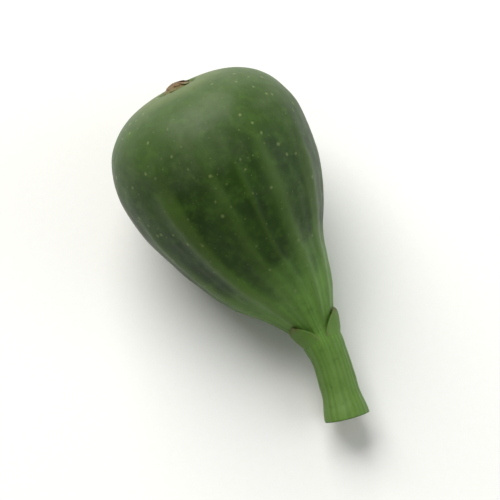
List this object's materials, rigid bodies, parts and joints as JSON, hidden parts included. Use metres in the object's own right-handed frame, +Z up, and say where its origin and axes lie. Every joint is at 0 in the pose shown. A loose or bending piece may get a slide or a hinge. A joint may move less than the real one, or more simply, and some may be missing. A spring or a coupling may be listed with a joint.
{
  "type": "fresh fig",
  "caption": "Small unripe fig, as picked: a ribbed round body that narrows to a neck and a thin cut stalk, with a scaled eye in its crown. It lies on its flank.",
  "frame": {"origin": "on the surface that the fig lies on, under the middle of its bounding box", "axes": "+X from the crown with the eye to the cut end of the stalk, +Z up from the surface, +Y completes a right-handed frame"},
  "size_m": [0.0296, 0.0158, 0.0157],
  "materials": {
    "skin": "satin",
    "scales": "matte"
  },
  "bodies": {
    "root": {"fig": "skin", "eye_scales": "scales"}
  },
  "joints": []
}
